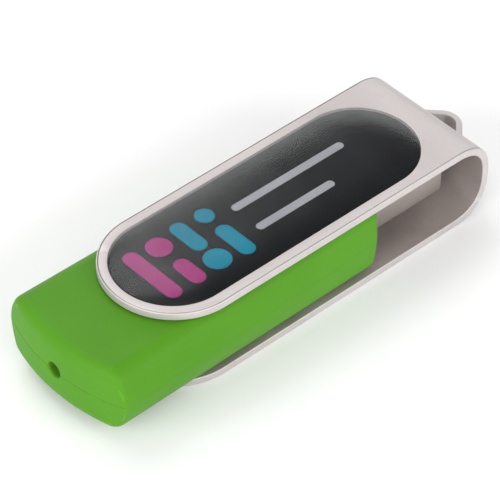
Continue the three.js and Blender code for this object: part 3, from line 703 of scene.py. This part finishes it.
def make_case(name, upper, mats):
    s = Shape()
    sign = 1 if upper else -1
    split = CASE_MID + sign * 0.02
    flat = CASE_HI if upper else CASE_LO
    half = CASE_HI - CASE_MID

    def ring(d_of, rise_of):
        pts = []
        for (mx, my, mnx, mny), (ex, ey, nx, ny) in zip(OUT_MID, OUT_EDGE):
            w = rear(nx)
            r = 1.20 + 0.30 * w
            d, h = d_of(r, w), rise_of(r)  # h runs from 0 at the parting line to half at the flat
            f = (h / half) ** SWELL
            px, py = mx + (ex - mx) * f, my + (ey - my) * f
            bx, by = mnx + (nx - mnx) * f, mny + (ny - mny) * f
            b = math.hypot(bx, by)
            pts.append((px - bx / b * d, py - by / b * d, CASE_MID + sign * h))
        return s.ring(pts)

    groove = lambda w: 0.04 + 0.96 * w
    rings = [
        ring(lambda r, w: 0.12 * groove(w), lambda r: 0.008),
        ring(lambda r, w: 0.055 * groove(w), lambda r: 0.020),
        ring(lambda r, w: 0.02 * groove(w), lambda r: 0.05),
        ring(lambda r, w: 0.0, lambda r: 0.10),
    ]
    for k in range(1, 8):
        rings.append(ring(lambda r, w: 0.0, lambda r, k=k: 0.10 + (half - r - 0.10) * k / 8))
    n = 12
    for k in range(n + 1):
        a = math.pi / 2 * k / n
        rings.append(ring(lambda r, w, a=a: r * (1 - math.cos(a)), lambda r, a=a: half - r + r * math.sin(a)))
    s.stack(rings)
    s.face(list(rings[0]))
    s.face(list(rings[-1]))
    ob = s.done(name, mats)

    wall, floor = 1.30, 1.20
    inner = [(x - nx * wall, y - ny * wall, nx, ny) for x, y, nx, ny in OUT_EDGE]
    slim = []
    for p in inner:
        if not slim or math.hypot(p[0] - slim[-1][0], p[1] - slim[-1][1]) > 0.08:
            slim.append(p)
    if upper:
        boolean(ob, prism("tool", slim, 5.5, CASE_HI - floor, mats, r1=0.2), "DIFFERENCE")
        boss = prism("tool", circle(0, 0, 2.8, 48), 8.55, 9.6, mats)
        boolean(ob, boss, "UNION")
        boolean(ob, prism("tool", circle(0, 0, 1.56, 48), 8.88, 11.0, mats), "DIFFERENCE")
    else:
        boolean(ob, prism("tool", slim, CASE_LO + floor, 6.4, mats, r0=0.2), "DIFFERENCE")
        boss = prism("tool", circle(0, 0, 2.8, 48), 2.3, 3.35, mats)
        boolean(ob, boss, "UNION")
        boolean(ob, prism("tool", circle(0, 0, 1.56, 48), 0.9, 3.02, mats), "DIFFERENCE")
    for px, py in ((-11, 4.9), (-11, -4.9), (15.6, 5.2), (15.6, -5.2)):
        if upper:
            boolean(ob, prism("tool", circle(px, py, 1.25, 32), 5.67, 9.6, mats), "UNION")
            boolean(ob, prism("tool", circle(px, py, 0.66, 32), 5.4, 7.4, mats), "DIFFERENCE")
        else:
            boolean(ob, prism("tool", circle(px, py, 1.25, 32), 2.3, 4.77, mats), "UNION")
            boolean(ob, prism("tool", circle(px, py, 0.60, 32), 4.6, 7.2, mats, r1=0.15), "UNION")
    # plug mouth in the front wall
    mouth = [(x, z, a, b) for x, z, a, b in rounded_box(-6.10, 6.10, 3.60, 8.30, 0.80, 6)]
    boolean(ob, prism("tool", mouth, 23.2, 26.5, mats, plane="yz"), "DIFFERENCE")
    # light hole in the rear wall with a softly broken edge
    hole = Shape()
    prof = [(1.26, -19.0), (1.26, -18.30), (1.15, -18.25), (1.06, -18.16), (1.01, -18.02), (1.00, -17.86), (1.00, -16.2)]
    rs = [hole.ring([(x, y, CASE_MID + z) for y, z, _, _ in circle(0, 0, r, 48)]) for r, x in prof]
    hole.stack(rs)
    hole.face(list(reversed(rs[0])))
    hole.face(rs[-1])
    boolean(ob, hole.done("tool", mats), "DIFFERENCE")
    tidy(ob, sharp=40)
    return ob


for node, upper in (("case_upper", True), ("case_lower", False)):
    ob = make_case(node + "_shell", upper, [GREEN])
    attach(ob, "drive")
    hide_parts(node)


def make_stud(name, upper):
    """A round pivot pin: a head that turns in the clip's hole and a shank pressed into the case."""
    if upper:
        prof = [(0, 11.40), (2.0, 11.40), (2.72, 11.39), (2.88, 11.35), (2.97, 11.26), (3.0, 11.14), (3.0, 10.72), (2.95, 10.64), (2.88, 10.62),
                (1.5, 10.62), (1.5, 9.1), (1.42, 8.97), (1.32, 8.92), (0, 8.92)]
    else:
        prof = [(0, 0.24), (1.1, 0.235), (1.35, 0.17), (1.55, 0.15), (2.72, 0.15), (2.88, 0.19), (2.97, 0.28), (3.0, 0.40), (3.0, 1.18), (2.95, 1.26), (2.88, 1.28),
                (1.5, 1.28), (1.5, 2.80), (1.42, 2.93), (1.32, 2.98), (0, 2.98)]
    ob = lathe(name, 0, 0, prof, [STUD], 72)
    return tidy(ob, sharp=50)


for node, upper in (("pivot_stud_upper", True), ("pivot_stud_lower", False)):
    ob = make_stud(node + "_pin", upper)
    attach(ob, "drive")
    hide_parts(node)


# ------------------------------------------------------------------- the plug

def make_plug():
    """A folded and seamed rectangular sleeve with two latch windows in each wide wall."""
    s = Shape()
    y, zl, zh, t = 6.0, 3.70, 8.20, 0.30
    outer = rounded_box(-y, y, zl, zh, 0.70, 8)
    stations = [(0.06, 19.65), (0.0, 19.71), (0.0, 24.0), (0.0, 28.0), (0.0, 31.0), (0.0, 35.0), (0.0, 38.30), (0.03, 38.37), (0.09, 38.40)]
    rings = [s.ring([(x, a, b) for a, b in inset(outer, d)]) for d, x in stations]
    rings += [s.ring([(x, a, b) for a, b in inset(outer, t - d)]) for d, x in ((0.06, 38.40), (0.015, 38.37), (0.0, 38.30), (0.0, 30.0), (0.0, 19.71), (0.06, 19.65))]
    s.stack(rings)
    s.band(rings[-1], rings[0])
    ob = s.done("plug_folded_sleeve", [STEEL])
    for sy in (-1, 1):
        for z0, z1 in ((3.4, 4.15), (7.75, 8.5)):
            win = rounded_box(31.2, 33.2, sy * 2.9 - 1.15, sy * 2.9 + 1.15, 0.12, 4)
            boolean(ob, prism("tool", win, z0, z1, [STEEL]), "DIFFERENCE")
    seam = rounded_box(19.0, 39.0, -0.04, 0.04, 0.01, 1)
    boolean(ob, prism("tool", seam, 3.3, 4.2, [STEEL]), "DIFFERENCE")
    for sy in (-1, 1):
        lo, hi = sorted((sy * 5.70, sy * 6.0))
        tab = rounded_box(17.45, 20.15, lo, hi, 0.04, 2)
        boolean(ob, prism("tool", tab, 4.52, 5.92, [STEEL]), "UNION")
    tidy(ob, sharp=38)
    return ob


plug = make_plug()
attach(plug, "drive")
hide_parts("plug_shell")


# ------------------------------------------------------- carried-over CAD nodes

def dress(node, mat, bevel=None, segments=2):
    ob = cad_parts[node]
    ob.data.materials.clear()
    ob.data.materials.append(mat)
    for p in ob.data.polygons:
        p.material_index = 0
    if bevel:
        w = ob.modifiers.new("weld", "WELD")
        w.merge_threshold = 1e-7
        b = ob.modifiers.new("edge", "BEVEL")
        b.width = bevel * MM
        b.segments = segments
        b.limit_method = "ANGLE"
        b.angle_limit = math.radians(50)


dress("plug_tongue", TONGUE, 0.06)
for node in ("contact_vbus", "contact_data_minus", "contact_data_plus", "contact_ground"):
    dress(node, GOLD, 0.03)
dress("circuit_board", BOARD)
dress("flash_memory_chip", CHIP)
dress("controller_chip", CHIP, 0.05)
dress("crystal", CAN, 0.08)
dress("activity_led", LED, 0.05)
for k in (1, 2, 3, 4):
    dress(f"capacitor_{k}", CERAMIC, 0.04)
    dress(f"resistor_{k}", GLAZE, 0.03)


# ------------------------------------------------------------- floor and light

def floor():
    me = bpy.data.meshes.new("floor")
    bm = bmesh.new()
    bmesh.ops.create_grid(bm, x_segments=8, y_segments=8, size=2.5)
    bm.to_mesh(me)
    bm.free()
    ob = bpy.data.objects.new("floor", me)
    bpy.context.scene.collection.objects.link(ob)
    m, nt, b = material("floor_paper", Roughness=0.9, Specular_IOR_Level=0.1)
    at = place(nt)
    nt.links.new(ramp(nt, noise(nt, 6.0, 2.0, 0.5, at), [(0.3, (0.90, 0.90, 0.90)), (0.7, (0.93, 0.93, 0.93))]), b.inputs["Base Color"])
    me.materials.append(m)
    ob.location.z = -0.00002


floor()


def softbox(name, direction, distance, width, height, energy, colour=(1, 1, 1)):
    light = bpy.data.lights.new(name, "AREA")
    light.shape = "RECTANGLE"
    light.size, light.size_y = width, height
    light.energy = energy
    light.color = colour
    ob = bpy.data.objects.new(name, light)
    d = Vector(direction).normalized()
    ob.location = d * distance + Vector((0, 0, 0.006))
    ob.rotation_mode = "QUATERNION"
    ob.rotation_quaternion = d.to_track_quat("Z", "Y")
    bpy.context.scene.collection.objects.link(ob)
    return ob


softbox("key_behind_left", (0.10, 0.62, 0.78), 0.60, 0.50, 0.36, 1.3)
softbox("overhead", (-0.35, -0.20, 1.0), 0.80, 1.10, 1.10, 1.6)
softbox("front_left", (-1.0, -0.05, 0.40), 0.70, 0.80, 0.45, 4.4)
softbox("front_right", (0.10, -1.0, 0.40), 0.70, 0.80, 0.45, 4.4)
softbox("low_behind", (0.60, 0.74, 0.36), 0.80, 0.90, 0.30, 1.9)

world = bpy.data.worlds.new("studio")
world.use_nodes = True
world.node_tree.nodes["Background"].inputs["Color"].default_value = (1, 1, 1, 1)
world.node_tree.nodes["Background"].inputs["Strength"].default_value = 0.27
bpy.context.scene.world = world
bpy.context.scene.view_settings.view_transform = "Standard"


# ------------------------------------------------------------------ the camera

def camera():
    az, el, roll = math.radians(46.361), math.radians(42.978), math.radians(-1.528)
    fw = Vector((math.cos(az) * math.cos(el), math.sin(az) * math.cos(el), -math.sin(el)))
    right = Vector((math.sin(az), -math.cos(az), 0))
    down = fw.cross(right)
    c, s = math.cos(roll), math.sin(roll)
    x = c * right + s * down
    y = -s * right + c * down
    cam = bpy.data.cameras.new("camera")
    cam.sensor_width = 36.0
    cam.lens = 233.784
    cam.clip_start, cam.clip_end = 0.02, 20.0
    ob = bpy.data.objects.new("camera", cam)
    ob.matrix_world = Matrix((
        (x.x, -y.x, -fw.x, -0.1971545),
        (x.y, -y.y, -fw.y, -0.2045275),
        (x.z, -y.z, -fw.z, 0.2692926),
        (0, 0, 0, 1),
    ))
    bpy.context.scene.collection.objects.link(ob)
    bpy.context.scene.camera = ob


camera()
